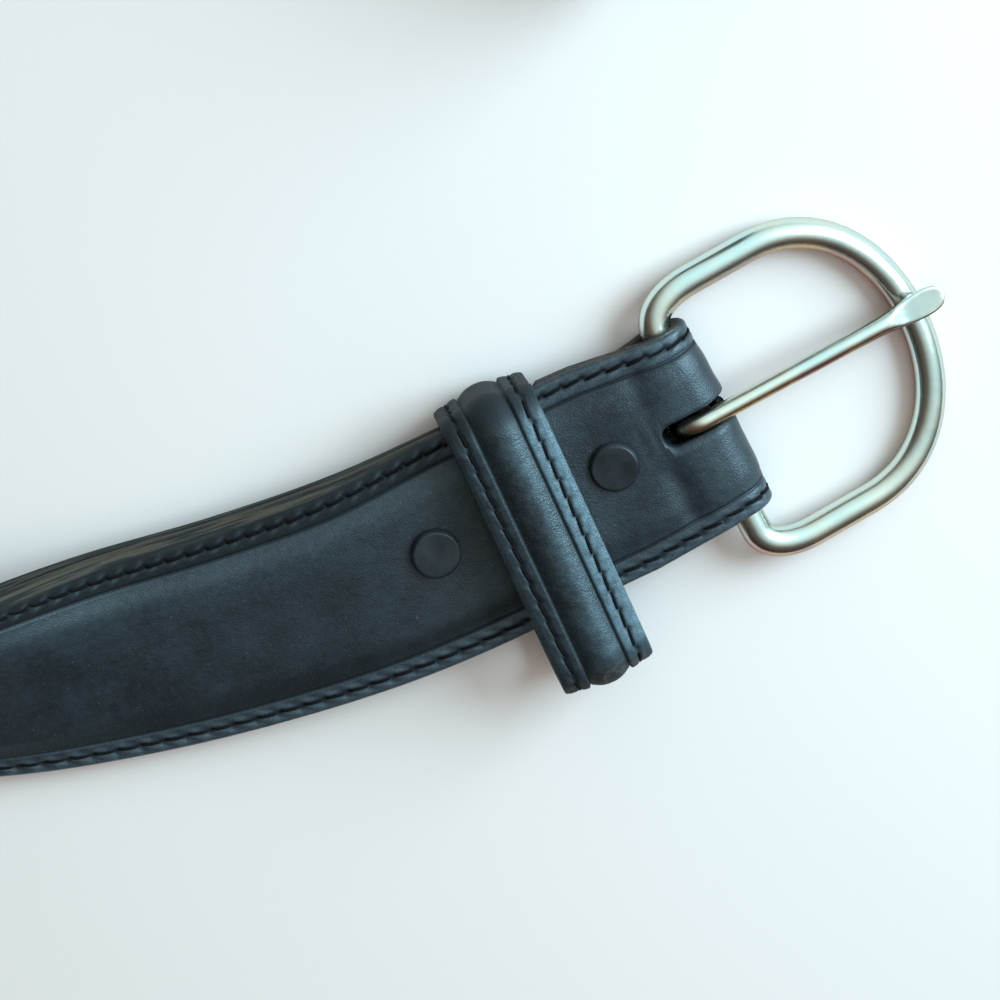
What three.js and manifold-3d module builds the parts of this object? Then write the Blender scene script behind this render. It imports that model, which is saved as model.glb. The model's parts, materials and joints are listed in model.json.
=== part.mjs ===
// A western belt of black leather, unfastened. The strap is a face layer with a raised centre on a
// lining, stitched along both borders. Its buckle end is folded round the heel bar of a rounded wire
// buckle and closed under the strap with two snaps, and a loose leather keeper rides beside the fold.
// The buckle end lies flat. From the keeper on the strap leans over until it stands on its lower edge,
// and the rest of it stands that way in one open loop.
//
// Millimetres, +Z up, the surface that the belt rests on at z = 0. +X runs along the tongue to the
// front of the buckle, +Y to the side that the loop stands on. The origin is the middle of the
// keeper's flat foot.

import * as THREE from "three";
import { mergeVertices } from "three/addons/utils/BufferGeometryUtils.js";
import Module from "manifold-3d";

const wasm = await Module();
wasm.setup();

// Driving dimensions.

const CLEARANCE = 0.3; // between pieces that touch on the real belt

const WIRE_RADIUS = 3.15; // the buckle's wire, heel bar included

const STRAP = {
  width: 45.8,
  border: 5.4, // stitched border on each side of the raised centre
  edge: 6, // thickness at the border
  centre: 7.2, // thickness over the raised centre
  lining: 2.6,
  length: 990, // from the heel bar to the tip
  tip: 21, // length of the rounded tip
  flatBefore: 6, // the raised centre runs out from here before the tip on
};

// The leather's section beside its middle. The raised centre stays level over the first share of the
// way to the groove and drops to the shoulder, and the outer edges are rounded off.
const SECTION = {
  levelShare: 0.76,
  shoulderShare: 0.93,
  shoulderHeight: 0.62, // share of the raise
  grooveDepth: 0.45,
  grooveInner: 0.25, // from the groove's line to its deepest point
  grooveOuter: 0.45, // from the groove's line to the border
  roundWidth: 1.1, // of the front's outer edge
  roundHeight: 0.8,
  backRound: 0.3,
  liningInset: 0.2,
  liningRound: 0.5,
};

const FOLD = {
  width: 42,
  widens: 20, // the strap has its full width this far from the bar
  border: 2.8,
  centre: 3.25, // skived down to bend round the bar
  skive: 45, // the strap has its full thickness this far from the bar
  layersFrom: 28, // the lining starts this far from the bar
};

const FLAP = { length: 72, thickness: 2.7, endWidth: 39 };

const SLOT = { start: -8.6, end: 12, width: 5.9, middle: 1.9 };

const HOLES = { first: 813, pitch: 25.4, count: 5, radius: 2.5 };

const SNAP = {
  capRadius: 5.05,
  capHeight: 1,
  seat: 0.6, // the cap's underside over the raised centre
  offset: 1.3, // towards +Y
  bevel: 0.8, // in from the cap's side, and down from its top
  bevelHeight: 0.65,
  postRadius: 2,
  flangeRadius: 4.2,
  flangeHeight: 0.6,
  front: 19.3, // distances from the heel bar
  rear: 59.7,
};

const KEEPER = {
  at: 38.5, // distance from the heel bar
  offset: -5.2, // pushed towards -Y until its other wall meets the strap's edge
  length: 19.6, // along the strap
  innerWidth: 58.6,
  innerHeight: 17.5,
  cornerRadius: 4.5, // inside
  ridge: 3.2, // thickness of the raised middle
  ridgeHalf: 3.9, // half of its width
  levelShare: 0.5, // of that half, level across
  shoulderHeight: 0.4, // share of the raise
  border: 2.3, // thickness of the borders
};

const FRAME = {
  offset: -2.7, // pushed along the heel bar
  heelHalf: 23, // straight half of the heel bar
  cornerX: 11, // where the corners end and the arms start
  armX: 24, // where the arms end and the round front starts
  armY: 29.7,
  frontX: 48.4,
  heelHandleY: 27, // the corner's two handles
  armHandleX: 4.2,
  frontHandleX: 38, // the front's two handles
  frontHandleY: 17.8,
};

const TONGUE = {
  radius: 1.9,
  offset: 1.3, // along the heel bar
  turn: 1.35, // degrees that it points towards -Y
  ringStart: -8, // degrees round the bar, where the wire's end lies
  ringThinning: 0.74, // the ring is hammered thinner behind and under the bar
};

// The tongue's shank by the distance from the heel bar, in shares of its radius: half its width,
// half its height, and the height of the flat that is ground on its end.
const SHANK = [
  { x: 0, wide: 0.96, high: 1, flat: 1 },
  { x: 12, wide: 0.96, high: 1, flat: 1 },
  { x: 26, wide: 1, high: 1, flat: 1 },
  { x: 40, wide: 1.03, high: 1, flat: 1 },
  { x: 43, wide: 1.12, high: 1, flat: 0.86 },
  { x: 45.5, wide: 1.3, high: 1, flat: 0.52 },
  { x: 49.5, wide: 1.5, high: 1, flat: 0.4 },
  { x: 52.6, wide: 1.4, high: 0.92, flat: 0.36 },
  { x: 54.4, wide: 1, high: 0.68, flat: 0.34 },
  { x: 55.1, wide: 0.42, high: 0.35, flat: 0.3 },
];

// The strap's course over the table, by the distance from the heel bar. Heading is how far it has
// turned towards +Y, lean how far its +Y edge has risen, and edge the height of its lower edge.
const COURSE = [
  { at: 0, heading: 0, lean: 0, edge: 10.15 },
  { at: 5, heading: 1.6, lean: 0, edge: 9.8 },
  { at: 10, heading: 2.5, lean: 0, edge: 8.9 },
  { at: 15, heading: 2.8, lean: 0, edge: 8.1 },
  { at: 25, heading: 3.0, lean: 0, edge: 6.8 },
  { at: 32, heading: 3.1, lean: 0, edge: 6.5 },
  { at: 40, heading: 3.2, lean: 0, edge: 6.5 },
  { at: 50, heading: 3.7, lean: 0, edge: 6.5 },
  { at: 60, heading: 4.9, lean: 1, edge: 6.2 },
  { at: 72, heading: 7.1, lean: 3, edge: 5.2 },
  { at: 100, heading: 12.5, lean: 7, edge: 2 },
  { at: 130, heading: 18.5, lean: 13.5, edge: 0.1 },
  { at: 165, heading: 25.5, lean: 34, edge: 0.1 },
  { at: 200, heading: 34.5, lean: 62, edge: 0.1 },
  { at: 235, heading: 45, lean: 85, edge: 0.1 },
  { at: 264, heading: 54.5, lean: 90, edge: 0 },
  { at: 300, heading: 67, lean: 90, edge: 0 },
  { at: 620, heading: 178, lean: 90, edge: 0 },
  { at: 990, heading: 307, lean: 90, edge: 0 },
];

// The flap under the strap: how far its upper side lies below the strap's back, and its thickness.
const FLAP_COURSE = [
  { at: 0, below: 6.9, border: FOLD.border, centre: FOLD.centre },
  { at: 5, below: 5.5, border: 2.8, centre: 3.2 },
  { at: 10, below: 2.3, border: 2.75, centre: 3.0 },
  { at: 15, below: 0.4, border: FLAP.thickness, centre: FLAP.thickness },
  { at: 20, below: CLEARANCE, border: FLAP.thickness, centre: FLAP.thickness },
  { at: 46, below: CLEARANCE, border: FLAP.thickness, centre: FLAP.thickness },
  { at: 56, below: 0.5, border: FLAP.thickness, centre: FLAP.thickness },
  { at: FLAP.length, below: 0.5, border: FLAP.thickness, centre: FLAP.thickness },
];

// The spacing of the strap's sections, by where each stretch starts.
const STOPS = [
  { start: 0, step: 4 },
  { start: 48, step: 3 },
  { start: 72, step: 8 },
  { start: 264, step: 14 },
];

const barInner = WIRE_RADIUS + CLEARANCE;
const barHeight = barInner + FOLD.centre;

// A smooth curve through the rows of a table, as a function of the column "at".
function smooth(rows, columns) {
  const at = rows.map((row) => row.at);
  const values = rows.flatMap((row) => columns.map((name) => row[name]));
  const curve = new THREE.CubicInterpolant(at, values, columns.length);
  return (distance) => {
    const found = curve.evaluate(distance);
    return Object.fromEntries(columns.map((name, i) => [name, found[i]]));
  };
}

const blend = (a, b, t) => THREE.MathUtils.lerp(a, b, THREE.MathUtils.clamp(t, 0, 1));

// Whether a closed body's faces point inwards, by the sign of its volume.
function isInsideOut(points, triangles) {
  let volume = 0;
  for (let i = 0; i < triangles.length; i += 3) {
    const [a, b, c] = [0, 1, 2].map((k) => points[triangles[i + k]]);
    volume += new THREE.Vector3().crossVectors(a, b).dot(c);
  }
  return volume < 0;
}

// A body through a row of closed sections with equal numbers of points. It is closed with a fan on
// each end, or is a ring whose last section meets the first. The quads on both sides of a section's
// last point, a strap's back, are split on the other diagonal, so that two layers twist alike.
function loft(sections, isRing = false) {
  const count = sections[0].length;
  const points = sections.flat();
  const triangles = [];
  const spans = isRing ? sections.length : sections.length - 1;
  for (let i = 0; i < spans; i++) {
    const here = i * count;
    const next = ((i + 1) % sections.length) * count;
    for (let j = 0; j < count; j++) {
      const k = (j + 1) % count;
      const quad = [here + j, here + k, next + k, next + j];
      const [a, b, c, d] = j >= count - 2 ? [...quad.slice(1), quad[0]] : quad;
      triangles.push(a, b, c, a, c, d);
    }
  }
  if (!isRing) {
    const fan = (section, first, isStart) => {
      const middle = points.length;
      const sum = section.reduce((a, p) => a.add(p), new THREE.Vector3());
      points.push(sum.divideScalar(count));
      for (let j = 0; j < count; j++) {
        const k = (j + 1) % count;
        triangles.push(middle, first + (isStart ? k : j), first + (isStart ? j : k));
      }
    };
    fan(sections[0], 0, true);
    fan(sections.at(-1), (sections.length - 1) * count, false);
  }
  const geometry = new THREE.BufferGeometry().setFromPoints(points);
  geometry.setIndex(isInsideOut(points, triangles) ? triangles.reverse() : triangles);
  return geometry;
}

// Booleans between closed geometries.
function toSolid(geometry) {
  const plain = geometry.clone();
  plain.deleteAttribute("normal");
  plain.deleteAttribute("uv");
  const merged = mergeVertices(plain, 1e-4);
  return new wasm.Manifold(
    new wasm.Mesh({
      numProp: 3,
      vertProperties: new Float32Array(merged.attributes.position.array),
      triVerts: new Uint32Array(merged.index.array),
    }),
  );
}

function cutBy(geometry, cutters) {
  const solid = cutters.reduce((left, cutter) => left.subtract(toSolid(cutter)), toSolid(geometry));
  const mesh = solid.getMesh();
  const result = new THREE.BufferGeometry();
  result.setAttribute("position", new THREE.BufferAttribute(mesh.vertProperties, 3));
  result.setIndex(new THREE.BufferAttribute(mesh.triVerts, 1));
  return result;
}

// The strap's course as stations: a point on its back at mid width, the direction across it and the
// direction out of its front.
const smoothCourse = smooth(COURSE, ["heading", "lean", "edge"]);

function course(s) {
  const { heading, lean, edge } = smoothCourse(s);
  return {
    turned: THREE.MathUtils.degToRad(heading),
    leant: THREE.MathUtils.degToRad(THREE.MathUtils.clamp(lean, 0, 90)),
    edge: Math.max(edge, 0),
  };
}

const PLAN_STEP = 1;
const plan = [new THREE.Vector2(0, 0)];
for (let s = 0; s < STRAP.length; s += PLAN_STEP) {
  const { turned } = course(s + PLAN_STEP / 2);
  const step = new THREE.Vector2(-Math.cos(turned), Math.sin(turned));
  plan.push(plan.at(-1).clone().addScaledVector(step, PLAN_STEP));
}

function widthAt(s) {
  const full = blend(FOLD.width, STRAP.width, s / FOLD.widens);
  const tip = (s - STRAP.length + STRAP.tip) / STRAP.tip;
  return tip > 0 ? full * Math.sqrt(1 - tip * tip) : full;
}

function backPoint(s) {
  const { leant, edge } = course(s);
  const index = Math.min(Math.floor(s / PLAN_STEP), plan.length - 2);
  const spot = plan[index].clone().lerp(plan[index + 1], s / PLAN_STEP - index);
  return new THREE.Vector3(spot.x, spot.y, edge + (STRAP.width / 2) * Math.sin(leant));
}

function station(s) {
  const reach = 0.5;
  const from = Math.max(s - reach, 0);
  const to = Math.min(s + reach, STRAP.length);
  const along = backPoint(to).sub(backPoint(from)).normalize();
  const { turned, leant } = course(s);
  const across = new THREE.Vector3(
    Math.cos(leant) * Math.sin(turned),
    Math.cos(leant) * Math.cos(turned),
    Math.sin(leant),
  );
  across.addScaledVector(along, -across.dot(along)).normalize();
  const out = new THREE.Vector3().crossVectors(across, along);
  return { spot: backPoint(s), across, out };
}

const place = ({ spot, across, out }, y, h) =>
  spot.clone().addScaledVector(across, y).addScaledVector(out, h);

// Half of the face layer's section, from the middle of the raised centre over the groove and the
// border to the middle of the back, as [distance from the middle, height].
function faceHalf(width, border, bottom, edge, centre) {
  const side = width / 2;
  const groove = side - border;
  const raised = centre - edge;
  const narrowed = Math.min(width / FOLD.width, 1); // towards the tip
  return [
    [groove * SECTION.levelShare, centre],
    [groove * SECTION.shoulderShare, edge + raised * SECTION.shoulderHeight],
    [groove - SECTION.grooveInner * narrowed, edge - Math.min(SECTION.grooveDepth, raised)],
    [groove + SECTION.grooveOuter * narrowed, edge],
    [side - SECTION.roundWidth * narrowed, edge],
    [side, edge - SECTION.roundHeight],
    [side, bottom + SECTION.backRound],
    [side - SECTION.backRound, bottom],
  ];
}

function liningHalf(width) {
  const { liningInset, liningRound } = SECTION;
  const side = width / 2 - liningInset;
  return [
    [side, STRAP.lining],
    [side, liningRound],
    [side - liningRound, 0],
  ];
}

// The whole section at a station: the half mirrored, the half itself and the middle of the back.
function section(where, half) {
  const right = half.map(([y, h]) => place(where, y, h));
  const left = half.map(([y, h]) => place(where, -y, h)).reverse();
  return [...left, ...right, place(where, 0, half.at(-1)[1])];
}

// Distances of the sections along the strap, from the tip back, close where it bends or twists.
function stops(from, to) {
  const rows = [];
  const tipStart = STRAP.length - STRAP.tip;
  const tipSteps = 6;
  const lastAngle = 1.42; // radians round the tip, just short of its end
  for (let k = 1; k <= tipSteps; k++) {
    rows.push(tipStart + STRAP.tip * Math.sin((k / tipSteps) * lastAngle));
  }
  STOPS.forEach(({ start, step }, i) => {
    const end = i + 1 < STOPS.length ? STOPS[i + 1].start : tipStart;
    for (let s = start; s < end; s += step) rows.push(s);
  });
  return rows.filter((s) => s >= from && s <= to).sort((a, b) => b - a);
}

function faceSection(s) {
  const skived = s / FOLD.skive;
  const width = widthAt(s);
  const border = STRAP.border * (width / STRAP.width);
  const edge = blend(FOLD.border, STRAP.edge, skived);
  const raised = blend(FOLD.centre, STRAP.centre, skived);
  const flatEnd = (s - STRAP.length + STRAP.tip + STRAP.flatBefore) / STRAP.tip;
  const bottom = s >= FOLD.layersFrom ? STRAP.lining + CLEARANCE : 0;
  return section(station(s), faceHalf(width, border, bottom, edge, blend(raised, edge, flatEnd)));
}

function foldSections() {
  const rows = [];
  const steps = 12;
  for (let i = 1; i < steps; i++) {
    const angle = Math.PI / 2 - (Math.PI * i) / steps;
    const out = new THREE.Vector3(Math.cos(angle), 0, Math.sin(angle));
    const spot = out.clone().multiplyScalar(barInner);
    spot.z += barHeight;
    const around = { spot, across: new THREE.Vector3(0, 1, 0), out };
    rows.push(section(around, faceHalf(FOLD.width, STRAP.border, 0, FOLD.border, FOLD.centre)));
  }
  return rows;
}

const flapCourse = smooth(FLAP_COURSE, ["below", "border", "centre"]);

function flapSections() {
  return stops(0, FLAP.length).reverse().map((s) => {
    const here = station(s);
    const { below, border, centre } = flapCourse(s);
    const spot = place(here, 0, -below);
    const turned = { spot, across: here.across, out: here.out.clone().negate() };
    const width = blend(FOLD.width, FLAP.endWidth, s / FLAP.length);
    return section(turned, faceHalf(width, STRAP.border, 0, border, centre));
  });
}

// Turns a round shape from +Y up to stand square on the strap.
function standOn(shape, s, offset) {
  const here = station(s);
  const turn = new THREE.Quaternion().setFromUnitVectors(new THREE.Vector3(0, 1, 0), here.out);
  shape.applyQuaternion(turn);
  const { x, y, z } = place(here, offset, 0);
  return shape.translate(x, y, z);
}

function throughHole(s, radius, offset = 0) {
  const length = 30; // well through all layers
  return standOn(new THREE.CylinderGeometry(radius, radius, length, 16), s, offset);
}

function slotCutter() {
  const depth = 30; // well through the fold
  const half = SLOT.width / 2;
  const outline = new THREE.Shape();
  outline.moveTo(SLOT.end, -half);
  outline.lineTo(SLOT.end, half);
  outline.lineTo(SLOT.start + half, half);
  outline.absarc(SLOT.start + half, 0, half, Math.PI / 2, (Math.PI * 3) / 2, false);
  outline.closePath();
  const cutter = new THREE.ExtrudeGeometry(outline, {
    depth,
    bevelEnabled: false,
    curveSegments: 8,
  });
  return cutter.translate(0, SLOT.middle, barHeight - depth / 2);
}

// The cutters of the row of holes near the tip and of a snap's hole.
const tipHoles = Array.from({ length: HOLES.count }, (_, i) =>
  throughHole(HOLES.first + i * HOLES.pitch, HOLES.radius),
);
const postHole = (s) => throughHole(s, SNAP.postRadius + CLEARANCE, SNAP.offset);

function strapFace() {
  const sections = stops(0, STRAP.length).map(faceSection);
  const whole = loft([...sections, ...foldSections(), ...flapSections()]);
  return cutBy(whole, [slotCutter(), postHole(SNAP.front), postHole(SNAP.rear), ...tipHoles]);
}

function strapLining() {
  const sections = stops(FOLD.layersFrom, STRAP.length).map((s) =>
    section(station(s), liningHalf(widthAt(s))),
  );
  return cutBy(loft(sections), [postHole(SNAP.rear), ...tipHoles]);
}

// A snap: cap on the raised centre, post through the layers and flange under the flap.
function snap(s) {
  const top = blend(FOLD.centre, STRAP.centre, s / FOLD.skive) + SNAP.seat;
  const bottom = -flapCourse(s).below - FLAP.thickness - CLEARANCE;
  const profile = [
    [0, bottom - SNAP.flangeHeight],
    [SNAP.flangeRadius, bottom - SNAP.flangeHeight],
    [SNAP.flangeRadius, bottom],
    [SNAP.postRadius, bottom],
    [SNAP.postRadius, top],
    [SNAP.capRadius, top],
    [SNAP.capRadius, top + SNAP.capHeight - SNAP.bevelHeight],
    [SNAP.capRadius - SNAP.bevel, top + SNAP.capHeight],
    [0, top + SNAP.capHeight],
  ].map(([r, h]) => new THREE.Vector2(r, h));
  const shape = new THREE.LatheGeometry(profile, 24);
  return standOn(shape, s, SNAP.offset);
}

// The keeper: a leather band in a closed rounded ring round strap and flap, square to the strap.
const keeperTurn = course(KEEPER.at).turned;
const keeperSpot = place(station(KEEPER.at), KEEPER.offset, 0).setZ(0);

function keeper() {
  const { length, ridge, border, ridgeHalf } = KEEPER;
  const { grooveDepth, grooveInner, grooveOuter, roundHeight } = SECTION;
  const groove = ridgeHalf + grooveInner;
  const half = [
    [ridgeHalf * KEEPER.levelShare, ridge],
    [ridgeHalf * SECTION.shoulderShare, border + (ridge - border) * KEEPER.shoulderHeight],
    [groove, border - grooveDepth],
    [groove + grooveOuter, border],
    [length / 2 - roundHeight, border],
    [length / 2, border - roundHeight],
    [length / 2, 0],
  ];
  const profile = [...half.map(([x, t]) => [-x, t]).reverse(), ...half];
  const halfY = KEEPER.innerWidth / 2 - KEEPER.cornerRadius;
  const halfZ = KEEPER.innerHeight / 2 - KEEPER.cornerRadius;
  const corners = [
    [halfY, halfZ, 0],
    [-halfY, halfZ, 90],
    [-halfY, -halfZ, 180],
    [halfY, -halfZ, 270],
  ];
  const steps = 6;
  const sections = corners.flatMap(([y, z, turn]) =>
    Array.from({ length: steps + 1 }, (_, i) => {
      const angle = THREE.MathUtils.degToRad(turn + (90 * i) / steps);
      const out = new THREE.Vector3(0, Math.cos(angle), Math.sin(angle));
      const spot = new THREE.Vector3(0, y, z).addScaledVector(out, KEEPER.cornerRadius);
      return profile.map(([x, t]) => spot.clone().addScaledVector(out, t).setX(x));
    }),
  );
  const ring = loft(sections, true);
  ring.rotateZ(-keeperTurn);
  ring.translate(keeperSpot.x, keeperSpot.y, KEEPER.ridge + KEEPER.innerHeight / 2);
  return ring;
}

// The angles of the corners round a wire's section.
const WIRE_SIDES = 12;
const wireAngles = Array.from({ length: WIRE_SIDES }, (_, k) => ((k + 0.5) / WIRE_SIDES) * 2 * Math.PI);

// The buckle's wire runs along its heel bar, round the corners and over the broad front. Its plane
// dips until the front rests on the surface.
const frontDrop = barHeight - WIRE_RADIUS;
const dip = Math.asin(frontDrop / FRAME.frontX);

function frameCurve() {
  const { heelHalf, cornerX, armX, armY, frontX } = FRAME;
  const { heelHandleY, armHandleX, frontHandleX, frontHandleY } = FRAME;
  const path = new THREE.Path();
  path.moveTo(0, -heelHalf);
  path.lineTo(0, heelHalf);
  path.bezierCurveTo(0, heelHandleY, armHandleX, armY, cornerX, armY);
  path.lineTo(armX, armY);
  path.bezierCurveTo(frontHandleX, armY, frontX, frontHandleY, frontX, 0);
  path.bezierCurveTo(frontX, -frontHandleY, frontHandleX, -armY, armX, -armY);
  path.lineTo(cornerX, -armY);
  path.bezierCurveTo(armHandleX, -armY, 0, -heelHandleY, 0, -heelHalf);
  return path;
}

function buckleFrame() {
  const points = frameCurve().getPoints(9).slice(0, -1);
  const sections = points.map((point, i) => {
    const before = points.at(i - 1);
    const after = points[(i + 1) % points.length];
    const along = after.clone().sub(before).normalize();
    const outward = new THREE.Vector3(along.y, -along.x, 0);
    return wireAngles.map((angle) => {
      const spot = new THREE.Vector3(point.x, point.y, WIRE_RADIUS * Math.sin(angle));
      return spot.addScaledVector(outward, WIRE_RADIUS * Math.cos(angle));
    });
  });
  const ring = loft(sections, true);
  ring.rotateY(dip);
  ring.translate(0, FRAME.offset, barHeight);
  return ring;
}

// The tongue: one wire bent round the heel bar, whose shank ends in a ground flat over the front bar.
function buckleTongue() {
  const shankStart = barHeight + barInner + TONGUE.radius;
  const shankRest = 2 * WIRE_RADIUS + CLEARANCE + TONGUE.radius;
  const stations = [];
  const ringSteps = 16;
  const startAngle = THREE.MathUtils.degToRad(TONGUE.ringStart);
  const sweep = startAngle + (Math.PI * 3) / 2;
  const thinUntil = 0.55; // share of the way round
  for (let i = 0; i < ringSteps; i++) {
    const angle = startAngle - (sweep * i) / ringSteps;
    const out = new THREE.Vector3(Math.cos(angle), 0, Math.sin(angle));
    const thickened = (i / ringSteps - thinUntil) / (1 - thinUntil);
    const high = blend(TONGUE.ringThinning, 1, thickened);
    const ringRadius = barInner + TONGUE.radius * high;
    const x = ringRadius * out.x;
    const z = barHeight + ringRadius * out.z;
    stations.push({ x, z, out, wide: SHANK[0].wide, high, flat: 1 });
  }
  const slope = (shankRest - shankStart) / FRAME.frontX;
  const up = new THREE.Vector3(-slope, 0, 1).normalize();
  SHANK.forEach(({ x, ...row }) => stations.push({ x, z: shankStart + slope * x, out: up, ...row }));
  const sections = stations.map(({ x, z, out, wide, high, flat }) =>
    wireAngles.map((angle) => {
      const spot = new THREE.Vector3(x, TONGUE.radius * wide * Math.cos(angle), z);
      const rise = Math.min(high * Math.sin(angle), flat);
      return spot.addScaledVector(out, TONGUE.radius * rise);
    }),
  );
  const wire = loft(sections);
  wire.rotateZ(THREE.MathUtils.degToRad(-TONGUE.turn));
  return wire.translate(0, TONGUE.offset, 0);
}

// Finishes.
const blackLeather = { color: 0x1c1e20, roughness: 0.55, metalness: 0 };
const liningLeather = { color: 0x2a2624, roughness: 0.7, metalness: 0 };
const blackEnamel = { color: 0x08090a, roughness: 0.25, metalness: 0.2 };
const nickel = { color: 0xc9c7c2, roughness: 0.12, metalness: 1 };

const belt = new THREE.Group();
belt.position.copy(keeperSpot).negate();

function add(name, geometry, finish) {
  const mesh = new THREE.Mesh(geometry, new THREE.MeshStandardMaterial(finish));
  mesh.name = name;
  belt.add(mesh);
}

add("strap_face", strapFace(), blackLeather);
add("strap_lining", strapLining(), liningLeather);
add("keeper", keeper(), blackLeather);
add("snap_front", snap(SNAP.front), blackEnamel);
add("snap_rear", snap(SNAP.rear), blackEnamel);
add("buckle_frame", buckleFrame(), nickel);
add("buckle_tongue", buckleTongue(), nickel);

const group = new THREE.Group();
group.add(belt);

export default group;
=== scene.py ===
# A western belt of black leather, dressed for a still picture. The strap's two layers, their seams, the
# keeper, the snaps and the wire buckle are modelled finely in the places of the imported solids.
# The strap is made flat first, along the length of its strip, and then bent to its course.

import bisect
import functools
import json
import math

import bmesh
import bpy
from mathutils import Matrix, Vector


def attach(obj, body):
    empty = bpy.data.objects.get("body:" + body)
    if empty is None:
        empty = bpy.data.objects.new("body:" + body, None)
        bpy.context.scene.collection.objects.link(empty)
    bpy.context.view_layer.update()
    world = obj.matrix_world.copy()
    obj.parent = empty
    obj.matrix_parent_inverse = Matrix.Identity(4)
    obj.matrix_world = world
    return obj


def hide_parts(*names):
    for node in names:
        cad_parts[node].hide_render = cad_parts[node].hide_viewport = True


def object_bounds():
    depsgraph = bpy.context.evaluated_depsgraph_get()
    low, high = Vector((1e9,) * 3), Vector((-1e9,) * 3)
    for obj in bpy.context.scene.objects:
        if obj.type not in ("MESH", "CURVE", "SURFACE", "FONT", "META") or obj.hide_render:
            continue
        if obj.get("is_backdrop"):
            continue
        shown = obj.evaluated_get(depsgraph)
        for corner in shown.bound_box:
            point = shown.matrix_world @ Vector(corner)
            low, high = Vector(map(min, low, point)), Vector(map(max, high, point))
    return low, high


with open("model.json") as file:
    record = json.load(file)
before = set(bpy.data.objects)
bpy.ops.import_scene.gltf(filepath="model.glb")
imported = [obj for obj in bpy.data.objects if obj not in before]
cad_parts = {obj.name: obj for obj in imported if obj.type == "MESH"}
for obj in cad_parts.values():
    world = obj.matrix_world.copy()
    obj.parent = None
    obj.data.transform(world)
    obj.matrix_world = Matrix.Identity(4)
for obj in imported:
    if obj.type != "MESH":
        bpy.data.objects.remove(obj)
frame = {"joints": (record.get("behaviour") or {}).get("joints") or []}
cad_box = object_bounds()

MM = 0.001
BAR = Vector(frame["joints"][0]["pos_m"]) / MM  # the middle of the heel bar

# Sizes in millimetres, as in the solids.

WIRE_RADIUS = 3.15
BAR_INNER = WIRE_RADIUS + 0.3  # the fold's inner radius

STRAP_WIDTH = 45.8
STRAP_BORDER = 5.4
STRAP_EDGE = 6.0
STRAP_CENTRE = 7.2
STRAP_LENGTH = 990.0
TIP_LENGTH = 21.0
TIP_FLAT_BEFORE = 6.0
LINING = 2.6
LAYER_GAP = 0.12

FOLD_WIDTH = 42.0
FOLD_WIDENS = 20.0
FOLD_BORDER = 2.8
FOLD_CENTRE = 3.25
FOLD_SKIVE = 45.0
LAYERS_FROM = 28.0
FOLD_ARC = math.pi * (BAR_INNER + FOLD_CENTRE)

FLAP_LENGTH = 72.0
FLAP_THICKNESS = 2.7
FLAP_END_WIDTH = 39.0
FLAP_TIP = -FOLD_ARC - FLAP_LENGTH

ROLL_WIDTH = 1.7  # of the strap's upper edge, where it is rolled over behind the keeper
BEHIND_KEEPER = 42.0  # from here on the seams are coarser and the strap's upper side gets painted shade

SLOT_REACH = 8.4
SLOT_WIDTH = 5.4  # narrower than in the solid, since leather closes on the tongue
SLOT_MIDDLE = 1.75

HOLES_FIRST = 813.0
HOLES_PITCH = 25.4
HOLES_COUNT = 5
HOLE_RADIUS = 2.5

STITCH_PITCH = 4.5
STITCH_RADIUS = 0.42
STITCH_SLANT = math.radians(4.5)
STITCH_LENGTH = 0.92 * STITCH_PITCH
STITCH_SINK = 0.12  # of the thread in the channel that it draws down
SEAM_INSET = 2.6  # from the strap's side to its seam
FACE_CHANNEL = 0.65
FINE_CHANNEL = 0.5
LINING_PUCKERS = 0.1
KEEPER_PUCKERS = 0.05

# How finely the meshes follow the strip.
FINE_ROWS = 9  # rows in one stitch
COARSE_ROWS = 3
FINE_UNTIL = 171.0  # the picture shows the strap to here
FOLD_STEP = 0.7
TIP_ROWS = 18
CUTTER_HALF = 20.0
WELD = 1e-6

SNAP_AT = (19.3, 59.7)
SNAP_OFFSET = 1.3
SNAP_RADIUS = 5.05
SNAP_HEIGHT = 1.6  # of the cap's top over the leather
SNAP_BEVEL = 0.6
SNAP_PRESS = 0.5
SNAP_PRESS_REACH = 6.6
FOOT_RADII = (3.6, 4.2)
FOOT_HEIGHT = 0.8
FOOT_DROP = 0.3
FOOT_BEVEL = 0.2

KEEPER_AT = 38.5
KEEPER_LENGTH = 19.6
KEEPER_INNER = (58.6, 17.5)
KEEPER_CORNER = 4.5
KEEPER_RIDGE = 3.2
KEEPER_RIDGE_HALF = 3.9
KEEPER_BORDER = 2.3
KEEPER_SIDE = 1.5
KEEPER_SEAM = 6.85  # from the keeper's middle to each of its seams
KEEPER_MID = 1.2  # the thickness whose length the stitches are counted along
KEEPER_STITCH_SINK = 0.34

FRAME_OFFSET = -2.7
FRAME_HEEL_HALF = 23.0
FRAME_CORNER = (11.0, 29.7)
FRAME_ARM_END = 24.0
FRAME_FRONT = 48.4
FRAME_CORNER_HANDLES = (4.2, 27.0)
FRAME_FRONT_HANDLES = (38.0, 17.8)
FRAME_HEEL_HANDLE = 10.0
FRAME_ARM_HANDLE = 4.0
FRAME_DIP = math.asin((BAR.z - WIRE_RADIUS) / FRAME_FRONT)

TONGUE_RADIUS = 1.9
TONGUE_OFFSET = 1.3
TONGUE_TURN = 1.35
TONGUE_RING_START = -8.0
TONGUE_RING_THINNING = 0.74
TONGUE_RING_STEPS = 40
TONGUE_THIN_UNTIL = 0.55
TONGUE_GAP = 0.3  # over the front bar
TONGUE_SIDES = 24

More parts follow.
